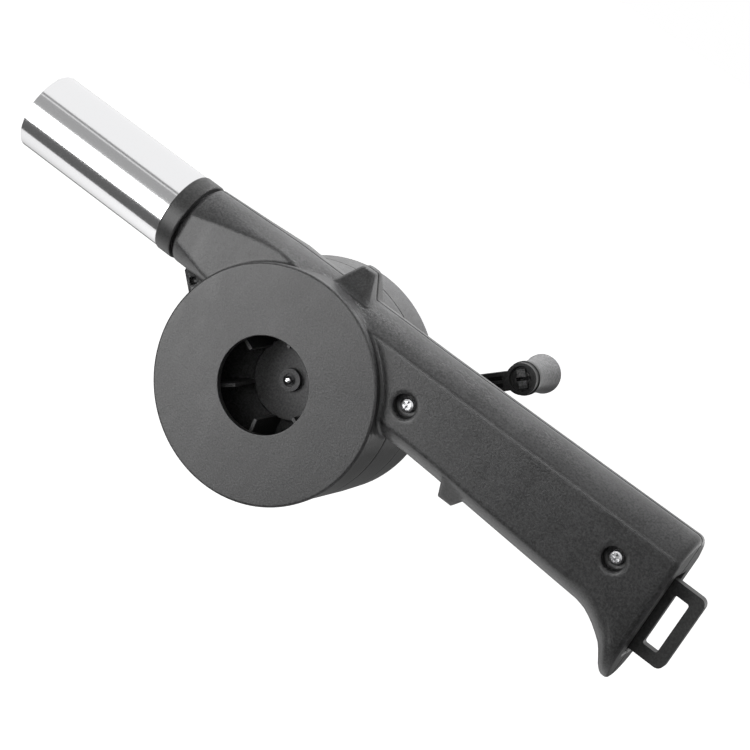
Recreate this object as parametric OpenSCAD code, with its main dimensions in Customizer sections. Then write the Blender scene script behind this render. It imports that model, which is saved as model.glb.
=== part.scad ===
// Hand crank forge blower, hand held.
// X runs along the grip, the nozzle points along -X, Y runs into the machine, Z is up.
// The origin is the centre of the air intake on the front cover's outer face.

/* [Fan housing] */
// Diameter of the front cover disc
disc_d = 80; // [72:1:90]
// Thickness of the front cover disc
disc_t = 2.4; // [1.6:0.1:3.2]
// How far the cover disc stands proud of the drum all round
disc_lip = 0.4; // [0.2:0.1:1]
// How much further out the drum's rear rim and the gear cover lie than its front
flare = 0.8; // [0:0.1:1.4]
// Diameter of the air intake
intake_d = 32.6; // [26:0.2:36]
// Depth of the parting plane behind the cover's outer face
part_y = 17.7; // [15:0.1:20]
// Depth of the fan chamber's floor
chamber_y = 31; // [28:0.5:34]
// Thickness of the fan chamber's floor
floor_t = 2.4; // [1.6:0.1:3.2]
// Depth of the rear rim of the drum, beyond the chamber's floor
rim_h = 3; // [2:0.1:4]
// Height of the gear cover
cover_h = 15.2; // [13.5:0.1:18]
// Shadow gap between the drum and the gear cover
seam = 0.4; // [0.2:0.1:0.8]
// Wall thickness of the moulded shells
wall = 2; // [1.6:0.1:2.6]
// Radius on the outer edges of the discs
edge_r = 0.8; // [0.3:0.1:1.2]

/* [Duct and nozzle] */
// Height of the nozzle's axis above the fan's axis
axis_z = 25.35; // [23:0.05:27]
// Radius of the duct's neck
neck_r = 14.2; // [13.6:0.1:15.5]
// Distance of the duct's mouth from the fan's axis
neck_x = 54.3; // [51:0.1:60]
// Distance of the corner where the duct's facet ends, from the fan's axis
corner_x = 20.6; // [16:0.1:26]
// Height of that corner above the fan's axis
corner_z = 38.4; // [37:0.1:39]
// Chamfer round the duct's mouth
mouth_bevel = 0.7; // [0.3:0.1:1]
// Outer diameter of the steel tube
tube_d = 28; // [26:0.5:30]
// Wall of the steel tube
tube_wall = 0.8; // [0.6:0.1:1.2]
// Visible length of the steel tube
tube_l = 61.2; // [40:0.2:90]
// Length of the collar between duct and tube
collar_l = 6.3; // [5:0.1:9]
// How far the collar stands proud of the tube
collar_lip = 0.35; // [0.2:0.05:0.8]
// Gap between the collar and the duct
collar_gap = 1; // [0.6:0.1:1.6]
// How far the adapter's sleeve reaches into the tube
sleeve_l = 10; // [6:0.5:16]
// Wall of the adapter's sleeve
sleeve_t = 1.1; // [0.9:0.1:1.3]
// Wall of the spigot on the duct's mouth
spigot_t = 1.5; // [1.1:0.1:2]

/* [Grip] */
// Width of the grip and the duct across their side flats
grip_w = 26.6; // [24:0.2:28]
// Height of the grip's top above the fan's axis
top_z = 41; // [41:0.1:44]
// How much higher the grip's top lies at the butt
top_rise = 1.3; // [0:0.1:2]
// How far the crown rises over the side flats
crown_h = 6.1; // [5:0.1:9]
// Height of the grip's underside above the fan's axis, next to the drum
low_z = 6.3; // [3:0.1:9]
// How far the belly rises to the side flats
belly_h = 6.7; // [5:0.1:9]
// Distance of the butt's end face from the fan's axis
grip_end = 143.6; // [125:0.1:165]
// How far the heel of the butt hangs below the underside
heel_drop = 19.5; // [12:0.5:26]
// Radius of the butt's top edge
butt_r = 2.5; // [1:0.1:4]
// Distance of the finger stop's middle from the fan's axis
stop_x = 69.5; // [60:0.1:80]
// Length of the finger stop along the grip
stop_l = 8.6; // [7:0.2:14]
// How far the finger stop stands below the underside
stop_h = 2.6; // [2:0.1:6]
// Width of the finger stop where it leaves the grip
stop_w = 24; // [18:0.5:24.5]
// Width of the finger stop's low face
stop_low_w = 13; // [8:0.5:17]

/* [Sight lug] */
// Distance of the lug's middle from the fan's axis
lug_x = 5.3; // [2:0.1:9]
// How far the lug stands above the crown
lug_h = 7.5; // [4:0.1:9]
// Length of the lug at its foot
lug_l = 15.3; // [12:0.1:18]
// Width of the lug at its foot
lug_w = 15.4; // [12:0.1:18]
// Length of the lug's flat top
lug_top_l = 5.2; // [3:0.1:8]
// Width of the lug's flat top
lug_top_w = 8; // [5:0.1:10]

/* [Web under the duct] */
// Thickness of the web
web_t = 6; // [4:0.2:9]
// How far the web reaches out from the drum
web_out = 9.8; // [9:0.1:13]
// Side of the square window in the web
window_w = 2.6; // [2:0.1:3]

/* [Hanging loop] */
// How far the loop stands out of the butt
loop_out = 12.2; // [11.5:0.1:18]
// Height of the loop
loop_h = 27.4; // [26:0.2:34]
// Height of the loop's middle above the fan's axis
loop_z = 13; // [11:0.1:15]
// Thickness of the loop
loop_t = 3.6; // [2.6:0.1:5]
// Width of the loop's bars
loop_bar = 4.2; // [3.5:0.1:6]
// Width of the loop's slot
slot_w = 5.5; // [4.6:0.1:8]
// Corner radius of the loop
loop_r = 2.5; // [1:0.1:3.5]
// Depth of the recess round the loop's foot
pocket_d = 4; // [2.5:0.1:5]
// Width of that recess
pocket_w = 12; // [8:0.2:16]
// Height of that recess
pocket_h = 31; // [29:0.2:36]

/* [Impeller] */
// Number of blades
blades = 6; // [4:1:9]
// Diameter over the blades
fan_d = 66; // [56:1:70]
// Distance of the blades' inner ends from the axis
blade_in = 13.3; // [10:0.1:16]
// Thickness of a blade
blade_t = 1.2; // [0.8:0.1:1.8]
// Angle of the first blade above the grip
blade_angle = 37.5; // [0:0.5:60]
// Gap between the front cover and the blades
front_gap = 4.6; // [3.5:0.1:7]
// Gap between the impeller's plate and the chamber's floor
back_gap = 2; // [1:0.1:2.4]
// Thickness of the impeller's plate
plate_t = 1.5; // [1:0.1:2]
// Radius of the hub drum
hub_r = 14.1; // [12:0.1:16]
// Height of the hub drum
hub_h = 6; // [5.5:0.1:8]
// Radius of the boss on the hub
boss_r = 3.9; // [3:0.1:5]
// How far the boss stands before the hub
boss_h = 2; // [1:0.1:3]
// Diameter of the fan's shaft
shaft_d = 3; // [2:0.1:4]
// How far the shaft stands before the boss
tip_h = 2; // [1:0.1:3]

/* [Gears] */
// Teeth of the crank gear
crank_z = 60; // [50:1:60]
// Teeth of the idler's pinion
idler_pinion_z = 10; // [10:1:14]
// Gap between the crank gear's teeth and the gear cover's wall
tip_gap = 1.92; // [1:0.01:2.6]
// Teeth of the idler's wheel
idler_z = 42; // [36:1:44]
// Teeth of the fan's pinion
fan_z = 12; // [10:1:16]
// Module of the fan stage
fan_m = 0.6; // [0.5:0.05:0.65]
// Angle of the line of gear axles above the grip
line_angle = -40.6; // [-50:0.1:-30]
// Face width of the crank gear
crank_face = 4.9; // [4:0.1:5.5]
// Face width of the fan stage
fan_face = 4; // [3:0.1:4.6]
// Diameter of the idler's axle
axle_d = 3; // [2:0.1:3.4]

/* [Crank] */
// Distance from the crank's axis to the knob's axis
crank_r = 67.5; // [50:0.5:80]
// Angle of the arm above the grip
arm_angle = 43.3; // [30:0.1:60]
// Diameter of the crank's shaft
crank_d = 6; // [5:0.1:7]
// Width of the arm
arm_w = 6.4; // [5:0.1:9]
// Depth of the arm's channel section
arm_t = 4.6; // [3.6:0.1:6]
// Radius of the arm's end boss
cup_r = 5.43; // [5:0.01:6.5]
// Depth of the cup in the end boss
cup_d = 2.4; // [1.6:0.1:3]
// How far the ring at the knob stands proud of the end boss
ring_lip = 0.42; // [0.2:0.01:0.8]
// Radius of the arm's hub
arm_hub_r = 7; // [6:0.1:9]
// Radius of the knob at the arm
knob_r = 5.4; // [4.6:0.1:6]
// Radius of the knob at its wide end
knob_end_r = 6.85; // [6:0.01:9]
// Length of the knob
knob_l = 17.6; // [14:0.1:30]
// Diameter of the knob's pin
pin_d = 5; // [4:0.1:6]

/* [Fasteners] */
// Distance of the first grip screw from the fan's axis
screw_a_x = 42.6; // [41.5:0.1:46]
// Height of the first grip screw above the fan's axis
screw_a_z = 21.9; // [19:0.1:25]
// Distance of the second grip screw from the fan's axis
screw_b_x = 125.5; // [115:0.1:130]
// Height of the second grip screw above the fan's axis
screw_b_z = 23.2; // [18:0.1:26]
// Diameter of the counterbore over a grip screw
counter_d = 8.3; // [7:0.1:9]
// Head diameter of the grip screws
head_d = 4.8; // [4:0.1:6]
// Head height of the grip screws
head_h = 1.8; // [1.2:0.1:2.4]
// How far the heads lie below the grip's flat
head_sink = 2.5; // [1.5:0.1:3]
// Shank diameter of the grip screws
shank_d = 2.6; // [2:0.1:3]
// How far the gear cover screws lie inside the drum's rear rim
cover_screw_in = 6.4; // [5.9:0.1:7.4]
// Head diameter of the gear cover screws
cover_head_d = 4.4; // [3.6:0.1:5]
// Shank diameter of the gear cover screws
cover_shank_d = 2.4; // [2:0.1:2.8]

/* [Hidden] */
$fn = 96;

// fits and small clearances
over = 1;
run_fit = 0.05;
slip_fit = 0.05;
end_play = 0.3;
gear_gap = 1.1;
tooth_play = 0.12;
pressure_angle = 25;
addendum_share = 0.85;
dedendum_share = 1.12;

// fan housing
lip_step = 0.2;
drum_r = disc_d / 2 - disc_lip;
rear_r = drum_r + flare;
rear_in_r = rear_r - wall;
chamber_r = drum_r - wall - lip_step;
wall_back_y = chamber_y + floor_t;
drum_y = wall_back_y + rim_h;
cover_y = drum_y + seam;
back_y = cover_y + cover_h;
lid_in_y = back_y - wall;
lip_t = 1.6;
lip_h = 3;
cover_lip_h = 2.2;
mid_r = mix(drum_r, rear_r, (part_y - disc_t) / (drum_y - disc_t));

// duct and nozzle
flat = grip_w / 2;
neck_half = sqrt(neck_r * neck_r - flat * flat);
ridge_share = 0.32;
crease_r = 1;
rise_share = 0.32;
facet_bulge_share = 0.1;
crease_shares = [[0, 0], [0.07, 0.03], [0.276, 0.3], [0.543, 0.59], [0.78, 0.84], [1, 1]];
duct_shares = [0, 0.015, 0.03, 0.1, 0.2, 0.3, 0.42, 0.54, 0.66, 0.78, 0.89, 1];
passage_shares = [0.1, 0.2, 0.3, 0.42, 0.54, 0.66, 0.78, 0.87, 0.96];
seat_cut = tube_wall * 0.375;
spigot_r = tube_d / 2 - tube_wall + seat_cut - slip_fit - sleeve_t - slip_fit;
collar_x0 = neck_x + collar_gap;
collar_x1 = collar_x0 + collar_l;
tube_end = collar_x1 + tube_l;
collar_r = tube_d / 2 + collar_lip;
collar_bevel = 0.6;
spigot_l = collar_gap + collar_l + sleeve_l;

// grip
heel_shares = [[0.34, 0], [0.43, 0.03], [0.52, 0.08], [0.68, 0.15], [0.80, 0.2], [0.85, 0.225],
    [0.879, 0.285], [0.912, 0.43], [0.944, 0.62], [0.961, 0.81], [0.971, 0.93], [0.981, 0.985], [1, 1]];
belly_shares = [[0.34, 0], [0.8, 0.05], [0.9, 0.5], [0.96, 0.95], [1, 1]];
grip_shares = [0.09, 0.2, 0.3, 0.34, 0.43, 0.52, 0.68, 0.8, 0.845, 0.86, 0.874, 0.89, 0.907, 0.924,
    0.94, 0.95, 0.96, 0.968, 0.976];
butt_shares = [0, 0.4, 0.7, 0.9, 1];
belly_grow = 5.6;
inner_shares = [0.25, 0.34, 0.43, 0.52, 0.68, 0.8, 0.874, 0.907, 0.94];
floor_x = grip_end - pocket_d;
butt_wall = 2.6;
rib_t = 1.6;
rib_h = 5;

// impeller
plate_back_y = chamber_y - back_gap;
plate_front_y = plate_back_y - plate_t;
blade_front_y = disc_t + front_gap;
hub_front_y = plate_back_y - hub_h;
boss_front_y = hub_front_y - boss_h;
tip_y = boss_front_y - tip_h;
hub_skin = 1.5;
bearing_in = 4.9;
bearing_out = 1.8;
bearing_y0 = chamber_y - bearing_in;
bearing_y1 = wall_back_y + bearing_out;
bush_wall = 1.5;
bush_l = 3.5;
bearing_wall = 1.5;
pin_well_r = 2.2;
pin_well_h = 0.8;

// gear train
fan_a = fan_m * (idler_z + fan_z) / 2;
crank_m = (rear_in_r - tip_gap + fan_a) / (crank_z + idler_pinion_z / 2 + addendum_share);
crank_a = crank_m * (crank_z + idler_pinion_z) / 2;
idler_x = -fan_a * cos(line_angle);
idler_pz = -fan_a * sin(line_angle);
crank_x = (crank_a - fan_a) * cos(line_angle);
crank_pz = (crank_a - fan_a) * sin(line_angle);
pinion_y0 = bearing_y1 + end_play;
pinion_face = fan_face + 2 * end_play;
fan_end_y = pinion_y0 + pinion_face + end_play;
crank_gear_y = fan_end_y + gear_gap;
crank_gear_y1 = crank_gear_y + crank_face;
idler_boss_h = 2.1;
idler_y0 = wall_back_y + idler_boss_h + end_play;
idler_y1 = crank_gear_y1 + end_play;
idler_boss_r = 3.4;
axle_sink = 1.2;
post_y = fan_end_y + end_play - 2 * slip_fit;
crank_bush_wall = 1;
post_wall = 1.4;
post_r = crank_d / 2 + crank_bush_wall + post_wall;
post_floor = 0.9;
gear_hub_r = 5.2;
web_face_share = 0.5;
rim_w = 3;
bush_front_y0 = crank_gear_y1 + end_play;
cover_hub_h = 1.4;
bush_front_y1 = back_y + cover_hub_h;
cover_hub_r = post_r + 1.2 * post_wall;

// crank
hub_y0 = bush_front_y1 + end_play;
arm_y0 = hub_y0 + end_play;
arm_y1 = arm_y0 + arm_t;
hub_y1 = arm_y1 + 1.2 * crank_bush_wall;
flange_t = 1.2;
arm_web_t = 1.4;
arm_rib_t = 0.9;
ring_y = arm_y0 + 3 * arm_t / 5;
cup_wall = 1.1;
knob_y0 = arm_y1 + end_play;
knob_y1 = knob_y0 + knob_l;
knob_shares = [[0, 0.94], [0.03, 1], [0.15, 1.005], [0.35, 1.03], [0.55, 1.085], [0.75, 1.165],
    [0.9, 1.25], [0.955, 1.285]];
knob_edge = 0.5;
flat_cut_share = 0.78;
washer_t = 0.8;
washer_r = 4.6;
crank_head_r = 3.1;
crank_head_h = 2.2;
crank_shank_r = 1.4;
crank_shank_l = 9;
prong_w = 3;
prong_gap = 1.2;
prong_hook = 0.7;
pin_depth_share = 0.7;

// fasteners
screw_places = [[screw_a_x, screw_a_z], [screw_b_x, screw_b_z]];
front_flat_y = part_y - flat;
head_y = front_flat_y + head_sink;
seat_y = head_y + head_h;
screw_l = 17;
boss_wall = 1.4;
hole_fit = 0.3;
cross_w = 0.7;
cross_d = 1;
cover_screw_angles = [35, 155, 245];
cover_screw_r = rear_r - cover_screw_in;
cover_boss_r = cover_shank_d / 2 + 1.6;
cover_boss_y = wall_back_y + 6.6 * rim_h / 3;
cover_head_h = 1.4;
cover_screw_l = 12;
drive_w = 0.6;

// straight line between two values
function mix(a, b, t) = a + (b - a) * t;

// share of the way from the neck to the facet's corner
function duct_t(x) = max(0, min(1, (x + neck_x) / (neck_x - corner_x)));

// how far the edges are rounded in at x: the butt's top edge and the rest
function round_in(x, r) =
    let (d = max(0, x - (grip_end - r)))
    r - sqrt(max(0, r * r - d * d));
function bevel_in(x) = max(0, mouth_bevel - (x + neck_x));

// heights of the section at x: top of the crown, flat's top edge, flat's low edge, underside
function crown_z(x) = lookup(x, [[-neck_x, axis_z + neck_r], [-corner_x, top_z],
    [grip_end * rise_share, top_z], [grip_end, top_z + top_rise]]);
function upper_z(x) = x < -corner_x
    ? mix(axis_z + neck_half, corner_z, lookup(duct_t(x), crease_shares))
    : lookup(x, [[-corner_x, corner_z], [lug_x + lug_l / 2, top_z - crown_h], [grip_end, top_z - crown_h]]);
function under_z(x) = x < 0
    ? lookup(x, [[-corner_x, axis_z - neck_r], [0, mix(low_z, axis_z - neck_r, 0.5)]])
    : low_z - heel_drop * lookup(x / grip_end, heel_shares);
function lower_z(x) = x < 0
    ? lookup(x, [[-neck_x, axis_z - neck_half], [-drum_r, under_z(-drum_r) + belly_h * 0.75],
        [0, under_z(0) + belly_h]])
    : under_z(x) + belly_h + belly_grow * lookup(x / grip_end, belly_shares);
function ridge_dy(x) = mix(flat * ridge_share, flat - crease_r, duct_t(x));

// half of the section at x, from the underside round to the crown, as [x, dy, z]
function half_ring(x, inset, back, n) =
    let (e = round_in(x, butt_r / 2) + bevel_in(x) + inset)
    let (hw = flat - e)
    let (zt = crown_z(x) - round_in(x, butt_r) - bevel_in(x) - inset)
    let (zu = upper_z(x) - round_in(x, butt_r) - inset / 2 - bevel_in(x) / 2)
    let (zb = under_z(x) + e)
    let (zl = lower_z(x) + inset / 2)
    let (ht = zt - zu)
    let (hb = zl - zb)
    let (rt = (hw * hw + ht * ht) / (2 * ht))
    let (rb = (hw * hw + hb * hb) / (2 * hb))
    let (rd = min(ridge_dy(x), hw - crease_r))
    let (rz = zt - rt + sqrt(rt * rt - rd * rd) + (1 - duct_t(x)) * duct_t(x) * crease_r * 1.2)
    let (hc = zt - rz)
    let (rc = (rd * rd + hc * hc) / (2 * hc))
    let (ab = hb < hw ? asin(hw / rb) : 180 - asin(hw / rb))
    let (ac = asin(rd / rc))
    let (cx = hw - rd, cz = rz - zu, cl = sqrt(cx * cx + cz * cz))
    let (bulge = facet_bulge_share * cl)
    concat(
        back > 0 ? [[x, -back, zb]] : [],
        [for (i = [0:n]) [x, rb * sin(ab * i / n), zb + rb - rb * cos(ab * i / n)]],
        [for (i = [0:4]) let (s = i / 4, q = 4 * s * (1 - s) * bulge)
            [x, hw - cx * s + cz / cl * q, zu + cz * s + cx / cl * q]],
        [for (i = [1:n]) [x, rc * sin(ac * (1 - i / n)), zt - rc + rc * cos(ac * (1 - i / n))]],
        back > 0 ? [[x, -back, zt]] : []
    );

// solid through a list of rings that all have the same number of points
module skin(rings) {
    n = len(rings[0]);
    m = len(rings);
    polyhedron(
        points = [for (r = rings) each r],
        faces = concat(
            [for (i = [1:n - 2]) [0, i, i + 1]],
            [for (j = [0:m - 2]) for (i = [0:n - 1]) let (k = (i + 1) % n)
                each [[j * n + i, (j + 1) * n + i, j * n + k],
                    [(j + 1) * n + i, (j + 1) * n + k, j * n + k]]],
            [for (i = [1:n - 2]) [(m - 1) * n, (m - 1) * n + i + 1, (m - 1) * n + i]]
        )
    );
}

// cylinder along +Y from y0 to y1 at x, z
module rod(r, y0, y1, x = 0, z = 0) {
    translate([x, y0, z])
        rotate([-90, 0, 0])
            cylinder(r = r, h = y1 - y0);
}

// lathe about Y, profile as [radius, y]
module lathe_y(points, x = 0, z = 0) {
    translate([x, 0, z])
        rotate([-90, 0, 0])
            rotate_extrude()
                polygon(points);
}

// lathe about the nozzle's axis, profile as [radius, x]
module lathe_x(points) {
    translate([0, part_y, axis_z])
        rotate([0, 90, 0])
            rotate_extrude()
                polygon(points);
}

// outline in X and Z pushed from y0 to y1
module slab(y0, y1) {
    translate([0, y1, 0])
        rotate([90, 0, 0])
            linear_extrude(y1 - y0)
                children();
}

// puts a half that was drawn outwards from the parting plane on its side
module on_side(side) {
    translate([0, part_y, 0])
        mirror([0, side < 0 ? 1 : 0, 0])
            children();
}

// corner points of a rectangle with rounded corners
function round_rect(x0, z0, x1, z1, r) = [
    for (c = [[x1 - r, z1 - r, 0], [x0 + r, z1 - r, 90], [x0 + r, z0 + r, 180], [x1 - r, z0 + r, 270]])
        for (a = [0:15:90]) [c[0] + r * cos(c[2] + a), c[1] + r * sin(c[2] + a)]
];

// involute gear outline, z teeth of module m, a tooth centred on angle 0
function inv(a) = tan(a) * 180 / PI - a;
function tooth_angle(r, rp, rb, half) =
    half + inv(pressure_angle) - (r > rb ? inv(acos(rb / r)) : 0);
function gear_points(z, m) =
    let (rp = m * z / 2, rb = rp * cos(pressure_angle))
    let (ro = rp + addendum_share * m, rr = rp - dedendum_share * m)
    let (half = 90 / z - tooth_play / 2 / rp * 180 / PI)
    let (rs = [rr, max(rb, rr + (rp - rr) / 3), rp, (rp + ro) / 2, ro])
    let (as = [for (r = rs) tooth_angle(max(r, rs[1]), rp, rb, half)])
    [for (t = [0:z - 1]) each concat(
        [for (i = [0:4]) let (a = t * 360 / z - as[i]) [rs[i] * cos(a), rs[i] * sin(a)]],
        [for (i = [4:-1:0]) let (a = t * 360 / z + as[i]) [rs[i] * cos(a), rs[i] * sin(a)]]
    )];

module gear(z, m, y0, y1, turn, x, pz) {
    translate([x, 0, pz])
        slab(y0, y1)
            rotate(turn)
                polygon(gear_points(z, m));
}

// half of the duct and grip, drawn outwards from the parting plane
module body_half() {
    skin(concat(
        [for (s = duct_shares) half_ring(mix(-neck_x, -corner_x, s), 0, 0, 8)],
        [half_ring(-corner_x / 2, 0, 0, 8)],
        [for (s = grip_shares) half_ring(grip_end * s, 0, 0, 8)],
        [for (s = butt_shares) half_ring(grip_end - butt_r * (1 - s), 0, 0, 8)]
    ));
}

// half of the lug on the crown
function lug_ring(h, s) =
    let (z = mix(top_z - crease_r * 2, top_z + lug_h, h))
    let (l = mix(lug_top_l, lug_l, s) / 2, w = mix(lug_top_w, lug_w, s) / 2, c = crease_r)
    [[lug_x + l, 0, z], [lug_x + l, w - c, z], [lug_x + l - c, w, z],
        [lug_x - l + c, w, z], [lug_x - l, w - c, z], [lug_x - l, 0, z]];
lug_shares = [[-0.25, 1.3], [0.05, 1.12], [0.14, 0.92], [0.26, 0.74], [0.9, 0.08], [0.97, 0], [1, -0.08]];

module lug_half() {
    skin([for (p = lug_shares) lug_ring(p[0], p[1])]);
}

// half of the web between the duct and the drum
module web_half() {
    px = -drum_r;
    pz = axis_z - neck_r;
    rotate([90, 0, 0])
        translate([0, 0, -web_t / 2])
            linear_extrude(web_t / 2)
                polygon([[px + wall, pz + wall], [px - web_out, pz + wall], [px - web_out, pz - wall / 3],
                    [px + wall, pz - wall / 3 - web_out - wall]]);
}

// half of the finger stop under the grip, narrower towards its low face
module stop_half() {
    z0 = under_z(stop_x);
    z1 = z0 + belly_h * 0.8;
    intersection() {
        rotate([90, 0, 0])
            translate([0, 0, -stop_w / 2])
                linear_extrude(stop_w / 2)
                    polygon([[stop_x - stop_l / 2, z1], [stop_x - stop_l * 0.39, z0 - stop_h * 0.9],
                        [stop_x - stop_l * 0.35, z0 - stop_h], [stop_x + stop_l * 0.22, z0 - stop_h],
                        [stop_x + stop_l * 0.27, z0 - stop_h * 0.85], [stop_x + stop_l * 0.41, z0 - wall / 4],
                        [stop_x + stop_l * 0.41 + wall, z1]]);
        rotate([90, 0, 90])
            translate([0, 0, stop_x - stop_l])
                linear_extrude(2 * stop_l)
                    polygon([[0, z0 - stop_h - over], [stop_low_w / 2, z0 - stop_h], [stop_w / 2, z1], [0, z1]]);
    }
}

// half of a tube round the nozzle's axis, drawn outwards from the parting plane
module half_pipe(r0, r1, x0, x1) {
    difference() {
        intersection() {
            translate([x0, 0, axis_z])
                rotate([0, 90, 0])
                    cylinder(r = r1, h = x1 - x0);
            translate([x0 - over, 0, axis_z - 2 * r1])
                cube([x1 - x0 + 2 * over, 2 * r1, 4 * r1]);
        }
        translate([x0 - over, 0, axis_z])
            rotate([0, 90, 0])
                cylinder(r = r0, h = x1 - x0 + 2 * over);
    }
}

// spaces inside half of the body: duct, grip, mouth and the loop's seat
module hollow_half() {
    skin([for (s = passage_shares) half_ring(mix(-neck_x, -corner_x, s), wall, over, 5)]);
    difference() {
        skin(concat([for (s = inner_shares) half_ring(grip_end * s, wall, over, 5)],
            [half_ring(floor_x - butt_wall, wall, over, 5)]));
        rod(drum_r, -2 * over, flat + over);
    }
    translate([-neck_x - over, 0, axis_z])
        rotate([0, 90, 0])
            cylinder(r = spigot_r - spigot_t, h = neck_x - drum_r + over);
    translate([floor_x, -over, loop_z - pocket_h / 2])
        cube([pocket_d + over, pocket_w / 2 + over, pocket_h]);
    translate([floor_x - butt_wall - over, -over, loop_z - loop_h / 2 + loop_bar])
        cube([butt_wall + 2 * over, loop_t / 2 + over, loop_h - 2 * loop_bar]);
}

// one half of the housing as moulded, before its bosses; the drum runs from the parting plane
// to depth and reaches the radius end_r there
module shell_half(depth, end_r) {
    difference() {
        union() {
            body_half();
            rotate([-90, 0, 0])
                cylinder(r1 = mid_r, r2 = end_r, h = depth);
            lug_half();
            web_half();
            stop_half();
            half_pipe(spigot_r - spigot_t, spigot_r, -neck_x - spigot_l, -neck_x + wall);
        }
        hollow_half();
    }
}

// stiffening ribs across half of the grip's hollow
rib_shares = [0.42, 0.56, 0.7];
module ribs_half() {
    for (s = rib_shares)
        translate([grip_end * s, flat - wall - rib_h / 2, under_z(grip_end * s) + belly_h])
            cube([rib_t, rib_h / 2 + wall / 2, top_z - crown_h - under_z(grip_end * s) - belly_h]);
}

module front_cover() {
    r = disc_d / 2;
    e = edge_r;
    lip_r = chamber_r - slip_fit;
    color("#3b3b3c")
        lathe_y([[intake_d / 2, 0], [r - e, 0],
            for (a = [15:15:75]) [r - e + e * sin(a), e - e * cos(a)],
            [r, e], [r, disc_t], [lip_r, disc_t], [lip_r, disc_t + lip_h],
            [lip_r - lip_t, disc_t + lip_h], [lip_r - lip_t, disc_t], [intake_d / 2, disc_t]]);
}

module front_shell() {
    color("#3b3b3c")
        difference() {
            union() {
                difference() {
                    on_side(-1)
                        union() {
                            shell_half(part_y - disc_t, drum_r);
                            ribs_half();
                        }
                    rod(chamber_r, disc_t - over, part_y + over);
                }
                for (p = screw_places) {
                    rod(counter_d / 2 + boss_wall, front_flat_y + wall / 2, seat_y + boss_wall, p[0], p[1]);
                    rod(shank_d / 2 + boss_wall, seat_y, part_y, p[0], p[1]);
                }
            }
            for (p = screw_places) {
                rod(counter_d / 2, front_flat_y - over, seat_y, p[0], p[1]);
                rod(shank_d / 2 + hole_fit, seat_y - over, part_y + over, p[0], p[1]);
            }
            translate([-drum_r - web_out * 0.55, part_y - web_t, axis_z - neck_r - window_w * 1.43])
                rotate([0, -45, 0])
                    cube([window_w, web_t - wall / 2, window_w]);
        }
}

module rear_shell() {
    color("#3b3b3c")
        difference() {
            union() {
                difference() {
                    on_side(1)
                        union() {
                            shell_half(drum_y - part_y, rear_r);
                            ribs_half();
                        }
                    rod(chamber_r, part_y - over, chamber_y);
                    rod(rear_in_r, wall_back_y, drum_y + over);
                }
                for (p = screw_places)
                    rod(shank_d / 2 + boss_wall, part_y, part_y + flat - wall / 2, p[0], p[1]);
                rod(shaft_d / 2 + bush_wall + bearing_wall, bearing_y0, bearing_y1);
                rod(idler_boss_r, wall_back_y - floor_t / 2, wall_back_y + idler_boss_h, idler_x, idler_pz);
                rod(post_r, wall_back_y - floor_t / 2, post_y, crank_x, crank_pz);
                for (a = cover_screw_angles)
                    rod(cover_boss_r, wall_back_y - floor_t / 2, cover_boss_y,
                        cover_screw_r * cos(a), cover_screw_r * sin(a));
            }
            for (p = screw_places)
                rod(shank_d / 2, part_y - over, part_y + screw_l - (part_y - seat_y) + end_play, p[0], p[1]);
            rod(shaft_d / 2 + bush_wall, bearing_y0 - over, bearing_y0 + bush_l);
            rod(shaft_d / 2 + hole_fit, bearing_y0, bearing_y1);
            rod(shaft_d / 2 + bush_wall, bearing_y1 - bush_l, bearing_y1 + over);
            rod(axle_d / 2, wall_back_y - axle_sink, wall_back_y + idler_boss_h + over, idler_x, idler_pz);
            rod(crank_d / 2 + crank_bush_wall, wall_back_y + post_floor, post_y + over, crank_x, crank_pz);
            for (a = cover_screw_angles)
                rod(cover_shank_d / 2, lid_in_y - cover_screw_l, cover_boss_y + over,
                    cover_screw_r * cos(a), cover_screw_r * sin(a));
        }
}

module gear_cover() {
    e = 2 * edge_r;
    lip_r = rear_in_r - slip_fit;
    color("#343435")
        difference() {
            union() {
                difference() {
                    lathe_y([[0, lid_in_y], [rear_in_r, lid_in_y], [rear_in_r, cover_y],
                        [rear_in_r - lip_t / 2, cover_y], [rear_in_r - lip_t / 2, cover_y - cover_lip_h],
                        [lip_r, cover_y - cover_lip_h], [lip_r, cover_y], [rear_r, cover_y],
                        [rear_r, back_y - e], for (a = [75:-15:15]) [rear_r - e + e * sin(a), back_y - e + e * cos(a)],
                        [rear_r - e, back_y], [0, back_y]]);
                }
                rod(rear_r - wall / 2, lid_in_y, back_y - wall / 2);
                rod(cover_hub_r, lid_in_y, bush_front_y1, crank_x, crank_pz);
                rod(post_r, bush_front_y0, lid_in_y + wall / 2, crank_x, crank_pz);
                rod(idler_boss_r, idler_y1 + end_play, lid_in_y + wall / 2, idler_x, idler_pz);
                for (a = cover_screw_angles)
                    rod(cover_boss_r, cover_boss_y, lid_in_y + wall / 2, cover_screw_r * cos(a), cover_screw_r * sin(a));
            }
            rod(crank_d / 2 + crank_bush_wall, bush_front_y0 - over, bush_front_y1 + over, crank_x, crank_pz);
            rod(axle_d / 2, idler_y1, lid_in_y, idler_x, idler_pz);
            for (a = cover_screw_angles) {
                rod(cover_shank_d / 2 + hole_fit / 2, cover_boss_y - over, back_y + over,
                    cover_screw_r * cos(a), cover_screw_r * sin(a));
                rod(cover_head_d / 2 + hole_fit, lid_in_y, back_y + over, cover_screw_r * cos(a), cover_screw_r * sin(a));
            }
        }
}

module nozzle_tube() {
    r1 = tube_d / 2;
    r0 = r1 - tube_wall;
    b = tube_wall / 4;
    seat_x = collar_x1 + sleeve_l + end_play;
    color("#c9c9cb")
        lathe_x([[r0 + seat_cut, -collar_x1], [r1, -collar_x1], [r1, -tube_end + b], [r1 - b, -tube_end],
            [r0 + b, -tube_end], [r0, -tube_end + b], [r0, -seat_x], [r0 + seat_cut, -seat_x]]);
}

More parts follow.
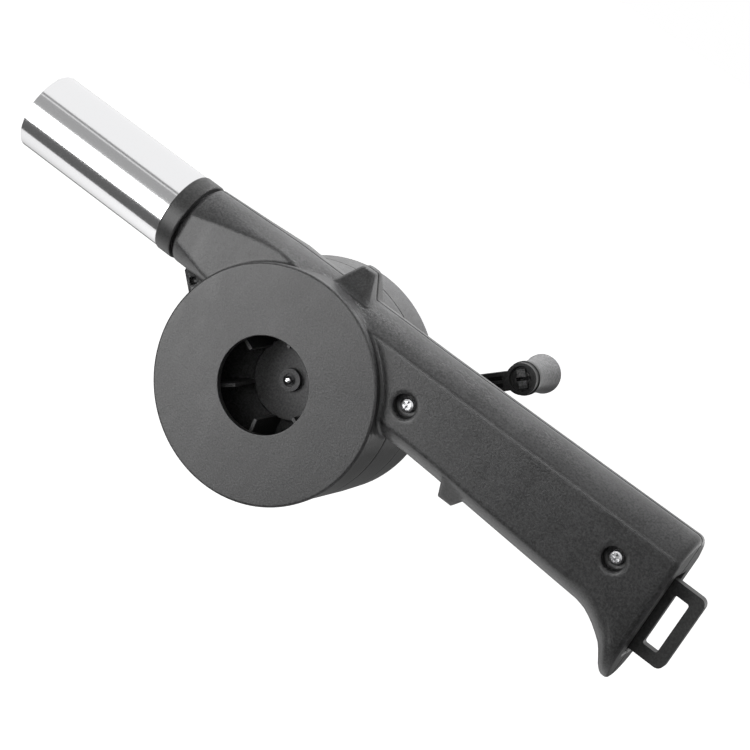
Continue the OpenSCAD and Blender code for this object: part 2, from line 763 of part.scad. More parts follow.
module nozzle_adapter() {
    r0 = spigot_r + slip_fit;
    r1 = tube_d / 2 - tube_wall + seat_cut - slip_fit;
    b = collar_bevel;
    color("#2c2c2d")
        lathe_x([[r0, -collar_x0], [collar_r - b, -collar_x0], [collar_r - b / 4, -collar_x0 - b / 4],
            [collar_r, -collar_x0 - b], [collar_r, -collar_x1 + b], [collar_r - b / 4, -collar_x1 + b / 4],
            [collar_r - b, -collar_x1], [r1, -collar_x1], [r1, -collar_x1 - sleeve_l], [r0, -collar_x1 - sleeve_l]]);
}

module hanging_loop() {
    z0 = loop_z - loop_h / 2;
    z1 = loop_z + loop_h / 2;
    x1 = grip_end + loop_out;
    foot = loop_bar / 2;
    color("#1c1c1d") {
        slab(part_y - loop_t / 2, part_y + loop_t / 2)
            difference() {
                polygon(round_rect(floor_x, z0, x1, z1, loop_r));
                polygon(round_rect(x1 - loop_bar - slot_w, z0 + loop_bar, x1 - loop_bar, z1 - loop_bar, loop_r / 3));
            }
        translate([floor_x - butt_wall - foot, part_y - loop_t / 2, z0 + loop_bar])
            cube([butt_wall + foot + loop_bar / 2, loop_t, loop_h - 2 * loop_bar]);
        translate([floor_x - butt_wall - foot, part_y - loop_t, z0 + loop_bar])
            cube([foot, 2 * loop_t, loop_h - 2 * loop_bar]);
    }
}

// pan head screw along +Y with a cross recess, head's top at y
module cross_screw(y, r_head, h_head, r_shank, l) {
    difference() {
        union() {
            lathe_y([[0, y], [r_head * 0.62, y], [r_head * 0.86, y + h_head * 0.14],
                [r_head, y + h_head * 0.42], [r_head, y + h_head], [0, y + h_head]]);
            rod(r_shank, y + h_head, y + h_head + l);
        }
        for (a = [0, 90])
            rotate([0, a, 0])
                translate([-r_head * 0.62, y - over, -cross_w / 2])
                    cube([r_head * 1.24, over + cross_d, cross_w]);
    }
}

module grip_screws() {
    color("#b9babc")
        for (p = screw_places)
            translate([p[0], 0, p[1]])
                cross_screw(head_y, head_d / 2, head_h, shank_d / 2, screw_l);
}

module gear_cover_screws() {
    color("#b9babc")
        for (a = cover_screw_angles)
            translate([cover_screw_r * cos(a), lid_in_y, cover_screw_r * sin(a)])
                mirror([0, 1, 0])
                    translate([0, -cover_head_h, 0])
                        cross_screw(0, cover_head_d / 2, cover_head_h, cover_shank_d / 2, cover_screw_l - end_play);
}

// plain bearing bush
module bush(r0, r1, y0, y1, x = 0, z = 0) {
    color("#a8874c")
        difference() {
            rod(r1, y0, y1, x, z);
            rod(r0, y0 - over, y1 + over, x, z);
        }
}

module fan_bush_front() {
    bush(shaft_d / 2 + run_fit, shaft_d / 2 + bush_wall, bearing_y0, bearing_y0 + bush_l);
}

module fan_bush_rear() {
    bush(shaft_d / 2 + run_fit, shaft_d / 2 + bush_wall, bearing_y1 - bush_l, bearing_y1);
}

module crank_bush_front() {
    bush(crank_d / 2 + run_fit, crank_d / 2 + crank_bush_wall, bush_front_y0, bush_front_y1, crank_x, crank_pz);
}

module crank_bush_rear() {
    bush(crank_d / 2 + run_fit, crank_d / 2 + crank_bush_wall, wall_back_y + post_floor, post_y, crank_x, crank_pz);
}

module idler_axle() {
    color("#b4b5b7")
        rod(axle_d / 2, wall_back_y - axle_sink, lid_in_y, idler_x, idler_pz);
}

module impeller() {
    bore = shaft_d / 2;
    back = bearing_y0 - end_play;
    color("#333334")
        difference() {
            union() {
                lathe_y([[bore, tip_y + tip_h + pin_well_h], [pin_well_r, boss_front_y + pin_well_h],
                    [pin_well_r, boss_front_y], [boss_r, boss_front_y], [boss_r, hub_front_y],
                    [hub_r - edge_r / 2, hub_front_y], [hub_r, hub_front_y + edge_r / 2], [hub_r, plate_front_y],
                    [fan_d / 2, plate_front_y], [fan_d / 2, plate_back_y], [hub_r - hub_skin, plate_back_y],
                    [hub_r - hub_skin, hub_front_y + hub_skin], [boss_r, hub_front_y + hub_skin],
                    [boss_r, back], [bore, back]]);
                for (i = [0:blades - 1])
                    rotate([0, -blade_angle - i * 360 / blades, 0])
                        translate([blade_in, blade_front_y, -blade_t / 2])
                            cube([fan_d / 2 - blade_in, plate_front_y - blade_front_y + plate_t / 2, blade_t]);
            }
        }
}

module fan_shaft() {
    r = shaft_d / 2;
    color("#d0d0d2")
        lathe_y([[0, tip_y], for (a = [15:15:90]) [r * sin(a), tip_y + r * 0.6 * (1 - cos(a))],
            [r, fan_end_y], [0, fan_end_y]]);
}

module fan_pinion() {
    color("#e8e4d6")
        difference() {
            gear(fan_z, fan_m, pinion_y0, pinion_y0 + pinion_face, line_angle + 180, 0, 0);
            rod(shaft_d / 2, pinion_y0 - over, pinion_y0 + pinion_face + over);
        }
}

module idler_gear() {
    color("#e8e4d6")
        difference() {
            union() {
                gear(idler_z, fan_m, idler_y0, idler_y0 + fan_face, line_angle + 180 / idler_z, idler_x, idler_pz);
                gear(idler_pinion_z, crank_m, idler_y0 + fan_face / 2, idler_y1, line_angle, idler_x, idler_pz);
            }
            rod(axle_d / 2 + run_fit, idler_y0 - over, idler_y1 + over, idler_x, idler_pz);
        }
}

module crank_gear() {
    rp = crank_m * crank_z / 2;
    face = crank_face * (1 - web_face_share) / 2;
    y0 = post_y + end_play;
    color("#e8e4d6")
        difference() {
            union() {
                difference() {
                    gear(crank_z, crank_m, crank_gear_y, crank_gear_y1, line_angle + 180 + 180 / crank_z,
                        crank_x, crank_pz);
                    for (y = [crank_gear_y - over, crank_gear_y1 - face])
                        rod(rp - rim_w, y, y + face + over, crank_x, crank_pz);
                }
                rod(gear_hub_r, y0, crank_gear_y1, crank_x, crank_pz);
            }
            rod(crank_d / 2, y0 - over, crank_gear_y1 + over, crank_x, crank_pz);
        }
}

// the shaft's end, with the flat that drives the arm
module shaft_end(r, y0, y1) {
    difference() {
        rod(r, y0, y1);
        translate([-2 * r, y0 - over, r * flat_cut_share])
            cube([4 * r, y1 - y0 + 2 * over, r]);
    }
}

module crank_shaft() {
    r = crank_d / 2;
    y0 = wall_back_y + post_floor + end_play;
    color("#b4b5b7")
        translate([crank_x, 0, crank_pz])
            difference() {
                union() {
                    rod(r, y0, hub_y0);
                    rotate([0, -arm_angle, 0])
                        shaft_end(r, hub_y0 - over, hub_y1 - end_play);
                }
                rod(crank_shank_r, hub_y1 - crank_shank_l, hub_y1 + over);
            }
}

// the arm lies along +X here and is turned to its angle afterwards
module arm_blank() {
    w = arm_w / 2;
    slab(arm_y0, arm_y1)
        polygon([[0, -w * 1.35], [crank_r, -w], [crank_r, w], [0, w * 1.35]]);
    rod(arm_hub_r, hub_y0, hub_y1);
    rod(cup_r, arm_y0, arm_y1, crank_r);
    rod(cup_r + ring_lip, ring_y, arm_y1, crank_r);
}

module arm_pockets() {
    w = arm_w / 2;
    x0 = arm_hub_r + flange_t;
    x1 = crank_r - cup_r - flange_t;
    xm = (x0 + x1) / 2;
    for (s = [-1, 1])
        slab(arm_y0 - over, arm_y1 - arm_web_t)
            polygon([[x0, s * arm_rib_t / 2], [x1, s * arm_rib_t / 2], [x1, s * (w - flange_t)],
                [x0, s * (w * 1.3 - flange_t)]]);
}

module crank_arm() {
    color("#232324")
        translate([crank_x, 0, crank_pz])
            rotate([0, -arm_angle, 0])
                difference() {
                    arm_blank();
                    arm_pockets();
                    shaft_end(crank_d / 2, hub_y0 - over, hub_y1 + over);
                    rod(cup_r - cup_wall, arm_y0 - over, arm_y0 + cup_d, crank_r);
                    rod(pin_d / 2 + run_fit, arm_y0, arm_y1 + over, crank_r);
                }
}

module crank_washer() {
    color("#b4b5b7")
        difference() {
            rod(washer_r, hub_y1, hub_y1 + washer_t, crank_x, crank_pz);
            rod(crank_shank_r, hub_y1 - over, hub_y1 + washer_t + over, crank_x, crank_pz);
        }
}

module crank_screw() {
    y1 = hub_y1 + washer_t + crank_head_h;
    color("#b9babc")
        translate([crank_x, y1, crank_pz])
            mirror([0, 1, 0])
                cross_screw(0, crank_head_r, crank_head_h, crank_shank_r, crank_shank_l);
}

module knob() {
    k = (knob_end_r / knob_r - 1) / 0.3;
    hole_l = knob_l * pin_depth_share;
    color("#4a4a4b")
        translate([crank_x, 0, crank_pz])
            rotate([0, -arm_angle, 0])
                difference() {
                    lathe_y([[0, knob_y0],
                        for (p = knob_shares)
                            [knob_r * (p[1] < 1 ? p[1] : 1 + (p[1] - 1) * k), mix(knob_y0, knob_y1, p[0])],
                        [knob_end_r, knob_y1 - knob_edge], [knob_end_r - knob_edge, knob_y1],
                        [knob_end_r - 3 * knob_edge, knob_y1], [knob_end_r - 4 * knob_edge, knob_y1 - knob_edge],
                        [0, knob_y1 - knob_edge]], crank_r);
                    rod(pin_d / 2, knob_y0 - over, knob_y0 + hole_l, crank_r);
                }
}

module knob_pin() {
    r = pin_d / 2;
    y0 = arm_y0 + cup_d - end_play;
    y1 = knob_y0 + knob_l * pin_depth_share;
    head = cup_d / 2;
    color("#2a2a2b")
        translate([crank_x, 0, crank_pz])
            rotate([0, -arm_angle, 0])
                difference() {
                    union() {
                        rod(r, y0, y1, crank_r);
                        translate([crank_r - prong_w / 2, y0 - head, -r - prong_hook])
                            cube([prong_w, head, 2 * (r + prong_hook)]);
                    }
                    translate([crank_r - 2 * r, y0 - head - over, -prong_gap / 2])
                        cube([4 * r, head + arm_t + over, prong_gap]);
                }
}

front_cover();
front_shell();
rear_shell();
gear_cover();
nozzle_tube();
nozzle_adapter();
hanging_loop();
grip_screws();
gear_cover_screws();
fan_bush_front();
fan_bush_rear();
crank_bush_front();
crank_bush_rear();
idler_axle();
impeller();
fan_shaft();
fan_pinion();
idler_gear();
crank_gear();
crank_shaft();
crank_arm();
crank_washer();
crank_screw();
knob();
knob_pin();
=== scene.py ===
"""Looks of a hand crank forge blower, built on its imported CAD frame."""

import bpy
from mathutils import Matrix, Vector

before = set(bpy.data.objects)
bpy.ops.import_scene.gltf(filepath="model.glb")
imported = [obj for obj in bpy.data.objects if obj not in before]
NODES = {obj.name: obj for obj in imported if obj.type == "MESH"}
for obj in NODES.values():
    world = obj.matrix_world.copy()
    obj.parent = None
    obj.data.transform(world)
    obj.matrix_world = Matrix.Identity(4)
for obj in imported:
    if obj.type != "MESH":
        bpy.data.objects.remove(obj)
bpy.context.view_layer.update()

bl_info = {
    "name": "Hand Crank Forge Blower",
    "version": (1, 0, 0),
    "blender": (4, 5, 0),
    "location": "View3D > Sidebar > Blower",
    "description": "Finishes, light and camera for a hand crank forge blower",
    "category": "Object",
}

# Node lists by the finish that the real pieces share
COVER_NODES = ("front_cover", "gear_cover")
SHELL_NODES = ("front_shell", "rear_shell")
SATIN_NODES = ("nozzle_adapter", "hanging_loop", "crank_arm")
ZINC_NODES = ("grip_screws", "gear_cover_screws", "crank_washer", "crank_screw")
STEEL_NODES = ("fan_shaft", "crank_shaft", "idler_axle")
BUSH_NODES = ("fan_bush_front", "fan_bush_rear", "crank_bush_front", "crank_bush_rear")
GEAR_NODES = ("fan_pinion", "idler_gear", "crank_gear")

# Lengths here and below are in metres, and scales of noise in cycles per metre.
# The plane where the two shells meet, behind the disc's face, and half its dark line
PARTING = 0.0177
SEAM_HALF = 0.00018
SEAM_COLOUR = (0.001, 0.001, 0.001, 1.0)

# Roughness of the shells and covers, and the radius that their edges are shaded to
SHELL_ROUGH = 0.29
SHELL_ROUND = 0.0024
COVER_ROUND = 0.0004
PLASTIC_ROUND = 0.0002
ROUND_SAMPLES = 8

# Depth of the grain in grained, satin and smooth plastic, and of marks in metal
GRAIN_DEPTH = 0.0001
SATIN_DEPTH = 0.00001
SMOOTH_DEPTH = 0.000005
METAL_DEPTH = 0.000004

# Noise in the plastics: cloudy colour, and patches rubbed along Z
CLOUD_SCALE = 45.0
RUB_SCALE = 140.0
RUB_STRETCH = (1.0, 1.0, 0.3)

# Lamps: place, aim, size, the setting that holds the power, and whether gloss shows them
LAMPS = {
    "left_light": ((-0.295, -0.5, -0.105), (-0.05, 0.0, 0.0), (0.3, 0.41), "left_power", True),
    "front_light": ((0.05, -0.9, 0.35), (0.0, 0.0, 0.0), (0.3, 0.3), "front_power", False),
    "top_light": ((-0.03, 0.13, 0.25), (0.0, 0.02, 0.03), (0.15, 0.15), "top_power", False),
}

# Cards that only shiny surfaces see: two opposite corners and the brightness
CARDS = {
    "low_card": ((-0.45, -0.29, -0.2), (0.05, -0.05, -0.2), 0.12),
    "front_card": ((-0.5, -0.5, 0.12), (-0.13, -0.5, 0.5), 0.38),
    "thin_card": ((-0.5, -0.45, 0.5), (-0.13, -0.45, 0.62), 0.25),
    "right_card": ((-0.13, -0.5, -0.6), (0.7, -0.5, 0.02), 0.02),
    "ridge_card": ((-0.22, -0.5, 0.06), (0.12, -0.5, 0.15), 8.0),
    "rim_card": ((0.15, 0.6, -0.1), (0.7, 0.6, 0.15), 1.6),
    "back_card": ((-0.7, 0.6, -0.29), (0.7, 0.6, -0.17), 0.2),
    "back_mat": ((-0.7, 0.35, -0.29), (0.7, 0.6, -0.29), 0.2),
}

# Half the floor's side, and the share of the camera's brightness that reflections see in it
FLOOR_REACH = 4.0
FLOOR_GLOSS_GLOW = 0.15

WHITE = (1.0, 1.0, 1.0, 1.0)
BLACK = (0.0, 0.0, 0.0, 1.0)

# The photograph's viewpoint: right, up and back axes of the camera and its place
CAMERA_RIGHT = Vector((0.769517, 0.381439, 0.512200))
CAMERA_UP = Vector((-0.579978, 0.081663, 0.810529))
CAMERA_BACK = Vector((0.267339, -0.920780, 0.284067))
CAMERA_PLACE = Vector((0.242731, -0.732085, 0.251639))
SENSOR_WIDTH = 36.0
CLIP_START, CLIP_END = 0.01, 20.0


def colour_prop(name, value, description):
    """Colour setting of a finish"""
    return bpy.props.FloatVectorProperty(
        name=name, description=description, default=value,
        min=0.0, max=1.0, size=3, subtype="COLOR",
    )


def power_prop(name, value, description):
    """Power setting of a lamp"""
    return bpy.props.FloatProperty(
        name=name, description=description, default=value,
        min=0.0, max=100.0, subtype="POWER", unit="POWER",
    )


class BlowerFinish(bpy.types.PropertyGroup):
    """Colours and surface sizes of the pieces"""

    shell: colour_prop("Shell", (0.0265, 0.0265, 0.027), "Moulded black plastic of the shells")
    satin: colour_prop("Satin", (0.02, 0.02, 0.02), "Glossier plastic of arm, loop and collar")
    fan: colour_prop("Fan", (0.05, 0.05, 0.051), "Plastic of the impeller")
    knob: colour_prop("Knob", (0.06, 0.06, 0.061), "Plastic of the turning knob")
    pin: colour_prop("Pin", (0.16, 0.16, 0.16), "Plastic of the pin that holds the knob")
    chrome: colour_prop("Chrome", (0.86, 0.86, 0.87), "Plated steel tube")
    zinc: colour_prop("Zinc", (0.62, 0.62, 0.63), "Plated screws")
    steel: colour_prop("Steel", (0.7, 0.7, 0.71), "Ground shafts")
    bronze: colour_prop("Bronze", (0.5, 0.33, 0.16), "Sintered bushes")
    nylon: colour_prop("Nylon", (0.75, 0.72, 0.62), "Natural nylon gears")
    grain: bpy.props.FloatProperty(
        name="Grain", description="Size of the moulded grain", default=0.0007,
        min=0.0001, max=0.003, subtype="DISTANCE", unit="LENGTH", precision=5,
    )


class BlowerStage(bpy.types.PropertyGroup):
    """Light, floor and camera"""

    lens: bpy.props.FloatProperty(
        name="Lens", description="Focal length of the camera in millimetres", default=120.07,
        min=20.0, max=300.0,
    )
    floor_drop: bpy.props.FloatProperty(
        name="Floor drop", description="How far the floor lies under the fan's axis", default=0.3,
        min=0.05, max=1.0, subtype="DISTANCE", unit="LENGTH",
    )
    left_power: power_prop("Left light", 2.2, "Power of the soft light left of the camera")
    front_power: power_prop("Front light", 0.4, "Power of the weak light in front")
    top_power: power_prop("Top light", 3.6, "Power of the soft light over the tool")
    room: bpy.props.FloatProperty(
        name="Room", description="Brightness of the white room", default=0.12, min=0.0, max=2.0,
    )


def new_material(name):
    """Material with a fresh tree: returns material, nodes, links and its principled shader"""
    material = bpy.data.materials.new(name)
    material.use_nodes = True
    tree = material.node_tree
    tree.nodes.clear()
    out = tree.nodes.new("ShaderNodeOutputMaterial")
    shader = tree.nodes.new("ShaderNodeBsdfPrincipled")
    tree.links.new(shader.outputs["BSDF"], out.inputs["Surface"])
    return material, tree.nodes, tree.links, shader


def noise(nodes, links, scale, detail=2.0, roughness=0.5, stretch=None):
    """Noise over object coordinates"""
    where = nodes.new("ShaderNodeTexCoord").outputs["Object"]
    if stretch:
        mapping = nodes.new("ShaderNodeMapping")
        mapping.inputs["Scale"].default_value = stretch
        links.new(where, mapping.inputs["Vector"])
        where = mapping.outputs["Vector"]
    tex = nodes.new("ShaderNodeTexNoise")
    tex.inputs["Scale"].default_value = scale
    tex.inputs["Detail"].default_value = detail
    tex.inputs["Roughness"].default_value = roughness
    links.new(where, tex.inputs["Vector"])
    return tex.outputs["Fac"]


def ranged(nodes, links, value, low, high, start=0.3, end=0.7):
    """Value mapped from start..end to low..high"""
    node = nodes.new("ShaderNodeMapRange")
    node.inputs["From Min"].default_value = start
    node.inputs["From Max"].default_value = end
    node.inputs["To Min"].default_value = low
    node.inputs["To Max"].default_value = high
    links.new(value, node.inputs["Value"])
    return node.outputs["Result"]


def bumped(nodes, links, shader, height, strength, distance, round_off=0.0):
    """Bump from a height, over edges that are shaded round to a radius of round_off"""
    bump = nodes.new("ShaderNodeBump")
    if round_off:
        edge = nodes.new("ShaderNodeBevel")
        edge.samples = ROUND_SAMPLES
        edge.inputs["Radius"].default_value = round_off
        links.new(edge.outputs["Normal"], bump.inputs["Normal"])
    bump.inputs["Strength"].default_value = strength
    bump.inputs["Distance"].default_value = distance
    links.new(height, bump.inputs["Height"])
    links.new(bump.outputs["Normal"], shader.inputs["Normal"])


def tinted(nodes, links, shader, value, dark, light, clear=None):
    """Base colour that wanders between two near shades, black where clear is 0"""
    ramp = nodes.new("ShaderNodeValToRGB")
    ramp.color_ramp.elements[0].position = 0.3
    ramp.color_ramp.elements[0].color = (*dark, 1.0)
    ramp.color_ramp.elements[1].position = 0.7
    ramp.color_ramp.elements[1].color = (*light, 1.0)
    links.new(value, ramp.inputs["Fac"])
    shade = ramp.outputs["Color"]
    if clear:
        mix = nodes.new("ShaderNodeMix")
        mix.data_type = "RGBA"
        # Sockets 0, 6, 7 of a colour mix are its factor, A and B, and output 2 is its colour
        mix.inputs[6].default_value = SEAM_COLOUR
        links.new(clear, mix.inputs[0])
        links.new(shade, mix.inputs[7])
        shade = mix.outputs[2]
    links.new(shade, shader.inputs["Base Color"])


def summed(nodes, links, value, factor, other):
    """value * factor + other"""
    node = nodes.new("ShaderNodeMath")
    node.operation = "MULTIPLY_ADD"
    node.inputs[1].default_value = factor
    links.new(value, node.inputs[0])
    links.new(other, node.inputs[2])
    return node.outputs[0]


def seam_mask(nodes, links, place, half):
    """0 within half of the plane y = place, 1 elsewhere"""
    split = nodes.new("ShaderNodeSeparateXYZ")
    links.new(nodes.new("ShaderNodeTexCoord").outputs["Object"], split.inputs[0])
    near = nodes.new("ShaderNodeMath")
    near.operation = "COMPARE"
    near.inputs[1].default_value = place
    near.inputs[2].default_value = half
    links.new(split.outputs["Y"], near.inputs[0])
    return ranged(nodes, links, near.outputs[0], 1.0, 0.0, 0.0, 1.0)


def moulded(name, colour, rough, grain, depth=GRAIN_DEPTH, seam=None, round_off=PLASTIC_ROUND):
    """Plastic from a spark-eroded mould: fine grain, cloudy colour and rubbed patches"""
    gloss = 0.5
    material, nodes, links, shader = new_material(name)
    fine = noise(nodes, links, 1.0 / grain, detail=3.0, roughness=0.7)
    cloud = noise(nodes, links, CLOUD_SCALE)
    rub = noise(nodes, links, RUB_SCALE, detail=4.0, roughness=0.6, stretch=RUB_STRETCH)
    speckle = summed(nodes, links, fine, 1.5, ranged(nodes, links, cloud, -0.33, -0.17))
    clear = seam_mask(nodes, links, *seam) if seam else None
    dark, light = [c * 0.4 for c in colour], [c * 1.55 for c in colour]
    tinted(nodes, links, shader, speckle, dark, light, clear)
    patches = ranged(nodes, links, rub, rough - 0.05, rough, start=0.3, end=0.5)
    worn = summed(nodes, links, fine, 0.12, patches)
    links.new(worn, shader.inputs["Roughness"])
    shader.inputs["Specular IOR Level"].default_value = gloss
    if seam:
        shine = ranged(nodes, links, clear, 0.0, gloss, start=0.0, end=1.0)
        links.new(shine, shader.inputs["Specular IOR Level"])
    bumped(nodes, links, shader, fine, 0.6, depth, round_off)
    return material


def metal(name, colour, rough, scale, stretch=None, depth=METAL_DEPTH, wave=0.0):
    """Bare or plated metal with fine marks, and a slow wave where it was drawn"""
    material, nodes, links, shader = new_material(name)
    marks = noise(nodes, links, scale, detail=3.0, roughness=0.6, stretch=stretch)
    if wave:
        marks = summed(nodes, links, noise(nodes, links, scale / 8), wave, marks)
    tinted(nodes, links, shader, marks, [c * 0.95 for c in colour], colour)
    links.new(ranged(nodes, links, marks, rough * 0.8, rough * 1.25), shader.inputs["Roughness"])
    shader.inputs["Metallic"].default_value = 1.0
    bumped(nodes, links, shader, marks, 0.2, depth)
    return material


def dress(names, material):
    """One finish on several CAD nodes"""
    for name in names:
        data = NODES[name].data
        data.materials.clear()
        data.materials.append(material)


class BLOWER_OT_housing(bpy.types.Operator):
    """Finish the shells, the front cover and the gear cover"""

    bl_idname = "blower.housing"
    bl_label = "Finish Housing"

    def execute(self, context):
        look = context.scene.blower_finish
        cover = moulded(
            "grained_cover", look.shell, SHELL_ROUGH, look.grain, round_off=COVER_ROUND
        )
        dress(COVER_NODES, cover)
        shell = moulded(
            "grained_shell", look.shell, SHELL_ROUGH, look.grain,
            seam=(PARTING, SEAM_HALF), round_off=SHELL_ROUND,
        )
        dress(SHELL_NODES, shell)
        return {"FINISHED"}


class BLOWER_OT_satin(bpy.types.Operator):
    """Finish the collar, the loop and the arm"""

    bl_idname = "blower.satin_pieces"
    bl_label = "Finish Satin Pieces"

    def execute(self, context):
        look = context.scene.blower_finish
        satin = moulded("satin_plastic", look.satin, 0.36, look.grain, depth=SATIN_DEPTH)
        dress(SATIN_NODES, satin)
        return {"FINISHED"}


class BLOWER_OT_nozzle(bpy.types.Operator):
    """Finish the plated tube"""

    bl_idname = "blower.nozzle"
    bl_label = "Finish Nozzle Tube"

    def execute(self, context):
        look = context.scene.blower_finish
        plated = metal(
            "plated_tube", look.chrome, rough=0.1, scale=1400.0,
            stretch=(0.12, 1.0, 1.0), depth=0.000008, wave=3.0,
        )
        dress(("nozzle_tube",), plated)
        return {"FINISHED"}


class BLOWER_OT_fan(bpy.types.Operator):
    """Finish the impeller"""

    bl_idname = "blower.fan"
    bl_label = "Finish Impeller"

    def execute(self, context):
        look = context.scene.blower_finish
        dress(("impeller",), moulded("fan_plastic", look.fan, 0.5, look.grain, depth=SATIN_DEPTH))
        return {"FINISHED"}


class BLOWER_OT_knob(bpy.types.Operator):
    """Finish the turning knob and its pin"""

    bl_idname = "blower.knob"
    bl_label = "Finish Knob"

    def execute(self, context):
        look = context.scene.blower_finish
        pin = moulded("pin_plastic", look.pin, 0.35, look.grain, depth=SMOOTH_DEPTH)
        dress(("knob_pin",), pin)
        dress(("knob",), moulded("knob_plastic", look.knob, 0.42, look.grain, depth=SATIN_DEPTH))
        return {"FINISHED"}


class BLOWER_OT_metal(bpy.types.Operator):
    """Finish the screws, shafts and bushes"""

    bl_idname = "blower.metal_pieces"
    bl_label = "Finish Metal Pieces"

    def execute(self, context):
        look = context.scene.blower_finish
        ground = metal(
            "ground_steel", look.steel, rough=0.2, scale=600.0, stretch=(1.0, 8.0, 1.0)
        )
        dress(ZINC_NODES, metal("zinc_plate", look.zinc, rough=0.3, scale=900.0))
        dress(STEEL_NODES, ground)
        dress(BUSH_NODES, metal("sintered_bronze", look.bronze, rough=0.45, scale=2500.0))
        return {"FINISHED"}


class BLOWER_OT_gears(bpy.types.Operator):
    """Finish the gears"""

    bl_idname = "blower.gears"
    bl_label = "Finish Gears"

    def execute(self, context):
        look = context.scene.blower_finish
        nylon = moulded("natural_nylon", look.nylon, 0.4, look.grain, depth=SMOOTH_DEPTH)
        dress(GEAR_NODES, nylon)
        return {"FINISHED"}


def soft_light(name, place, aim, size, power):
    """Rectangular soft light at place, turned to aim"""
    data = bpy.data.lights.new(name, "AREA")
    data.shape = "RECTANGLE"
    data.size, data.size_y = size
    data.energy = power
    lamp = bpy.data.objects.new(name, data)
    bpy.context.scene.collection.objects.link(lamp)
    lamp.location = place
    lamp.rotation_mode = "QUATERNION"
    lamp.rotation_quaternion = (Vector(aim) - Vector(place)).to_track_quat("-Z", "Y")
    return lamp


def flat_board(name, low, high, material):
    """Flat rectangle between two opposite corners, its lower edge along X"""
    (x_low, y_low, z_low), (x_high, y_high, z_high) = low, high
    corners = [
        (x_low, y_low, z_low), (x_high, y_low, z_low),
        (x_high, y_high, z_high), (x_low, y_high, z_high),
    ]
    mesh = bpy.data.meshes.new(name)
    mesh.from_pydata(corners, [], [(0, 1, 2, 3)])
    mesh.materials.append(material)
    board = bpy.data.objects.new(name, mesh)
    bpy.context.scene.collection.objects.link(board)
    return board


def card(name, low, high, level):
    """Grey card that only shiny surfaces see"""
    material, nodes, links, shader = new_material(name)
    shader.inputs["Base Color"].default_value = BLACK
    shader.inputs["Specular IOR Level"].default_value = 0.0
    shader.inputs["Emission Color"].default_value = WHITE
    shader.inputs["Emission Strength"].default_value = level
    board = flat_board(name, low, high, material)
    board.visible_camera = board.visible_diffuse = board.visible_shadow = False


def white_room(strength):
    """World that is white to the camera, gloss and glass, and lights the rest by strength"""
    world = bpy.data.worlds.new("white_room")
    world.use_nodes = True
    nodes, links = world.node_tree.nodes, world.node_tree.links
    nodes.clear()
    out = nodes.new("ShaderNodeOutputWorld")
    back = nodes.new("ShaderNodeBackground")
    path = nodes.new("ShaderNodeLightPath")
    seen = path.outputs["Is Camera Ray"]
    for ray in ("Is Glossy Ray", "Is Transmission Ray"):
        either = nodes.new("ShaderNodeMath")
        either.operation = "MAXIMUM"
        links.new(seen, either.inputs[0])
        links.new(path.outputs[ray], either.inputs[1])
        seen = either.outputs[0]
    level = ranged(nodes, links, seen, strength, 1.0, start=0.0, end=1.0)
    links.new(level, back.inputs["Strength"])
    back.inputs["Color"].default_value = WHITE
    links.new(back.outputs["Background"], out.inputs["Surface"])
    return world


def pale_floor(drop):
    """Floor that glows white to the camera and still keeps the object's shadow"""
    material, nodes, links, shader = new_material("pale_floor")
    shader.inputs["Base Color"].default_value = (0.8, 0.8, 0.8, 1.0)
    shader.inputs["Roughness"].default_value = 0.9
    shader.inputs["Emission Color"].default_value = WHITE
    ray = nodes.new("ShaderNodeLightPath")
    glow = summed(
        nodes, links, ray.outputs["Is Glossy Ray"], FLOOR_GLOSS_GLOW, ray.outputs["Is Camera Ray"]
    )
    links.new(glow, shader.inputs["Emission Strength"])
    low, high = (-FLOOR_REACH, -FLOOR_REACH, -drop), (FLOOR_REACH, FLOOR_REACH, -drop)
    floor = flat_board("floor", low, high, material)


def photo_camera(lens):
    """Camera at the photograph's viewpoint"""
    data = bpy.data.cameras.new("view")
    data.sensor_width = SENSOR_WIDTH
    data.lens = lens
    data.clip_start, data.clip_end = CLIP_START, CLIP_END
    camera = bpy.data.objects.new("view", data)
    bpy.context.scene.collection.objects.link(camera)
    turn = Matrix((CAMERA_RIGHT, CAMERA_UP, CAMERA_BACK)).transposed()
    camera.matrix_world = Matrix.Translation(CAMERA_PLACE) @ turn.to_4x4()
    return camera


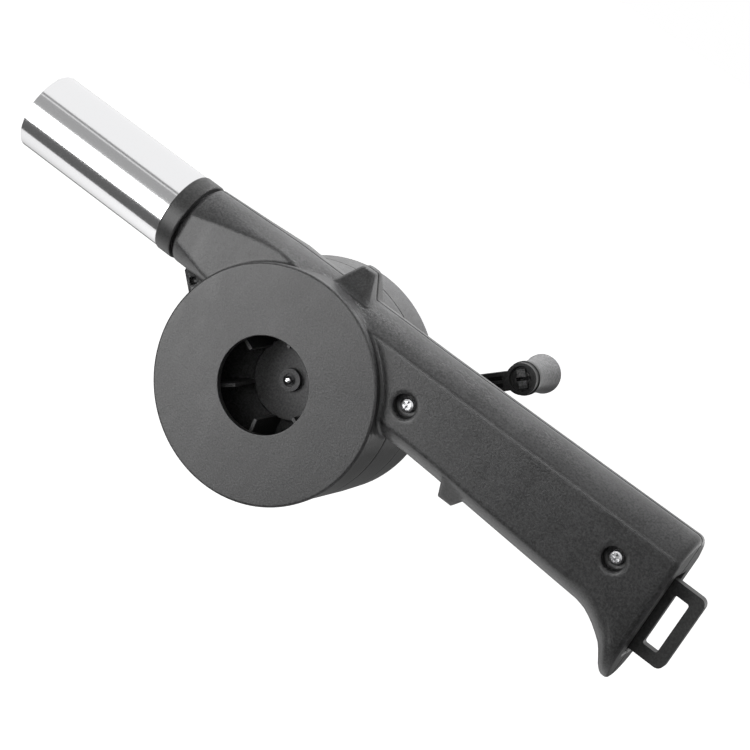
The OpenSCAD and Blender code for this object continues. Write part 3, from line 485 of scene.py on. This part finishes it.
class BLOWER_OT_stage(bpy.types.Operator):
    """Make the floor, the white room, the lights and the camera"""

    bl_idname = "blower.stage"
    bl_label = "Make Stage"

    def execute(self, context):
        scene = context.scene
        stage = scene.blower_stage
        scene.view_settings.view_transform = "Standard"
        scene.world = white_room(stage.room)
        pale_floor(stage.floor_drop)
        for name, (place, aim, size, power, glossy) in LAMPS.items():
            lamp = soft_light(name, place, aim, size, getattr(stage, power))
            lamp.visible_glossy = glossy
        for name, (low, high, level) in CARDS.items():
            card(name, low, high, level)
        scene.camera = photo_camera(stage.lens)
        return {"FINISHED"}


PIECE_OPERATORS = (
    BLOWER_OT_housing, BLOWER_OT_satin, BLOWER_OT_nozzle, BLOWER_OT_fan, BLOWER_OT_knob,
    BLOWER_OT_metal, BLOWER_OT_gears, BLOWER_OT_stage,
)


class BLOWER_PT_panel(bpy.types.Panel):
    """Steps that dress the blower"""

    bl_idname = "BLOWER_PT_panel"
    bl_label = "Forge Blower"
    bl_space_type = "VIEW_3D"
    bl_region_type = "UI"
    bl_category = "Blower"

    def draw(self, context):
        layout = self.layout
        for group in (context.scene.blower_finish, context.scene.blower_stage):
            for name in group.bl_rna.properties.keys():
                if name not in ("rna_type", "name"):
                    layout.prop(group, name)
        for operator in PIECE_OPERATORS:
            layout.operator(operator.bl_idname)


CLASSES = (BlowerFinish, BlowerStage, *PIECE_OPERATORS, BLOWER_PT_panel)


def register():
    for item in CLASSES:
        bpy.utils.register_class(item)
    bpy.types.Scene.blower_finish = bpy.props.PointerProperty(type=BlowerFinish)
    bpy.types.Scene.blower_stage = bpy.props.PointerProperty(type=BlowerStage)


def unregister():
    del bpy.types.Scene.blower_stage
    del bpy.types.Scene.blower_finish
    for item in reversed(CLASSES):
        bpy.utils.unregister_class(item)


def main():
    register()
    bpy.ops.blower.housing()
    bpy.ops.blower.satin_pieces()
    bpy.ops.blower.nozzle()
    bpy.ops.blower.fan()
    bpy.ops.blower.knob()
    bpy.ops.blower.metal_pieces()
    bpy.ops.blower.gears()
    bpy.ops.blower.stage()
    bpy.context.view_layer.update()


if __name__ == "__main__":
    main()
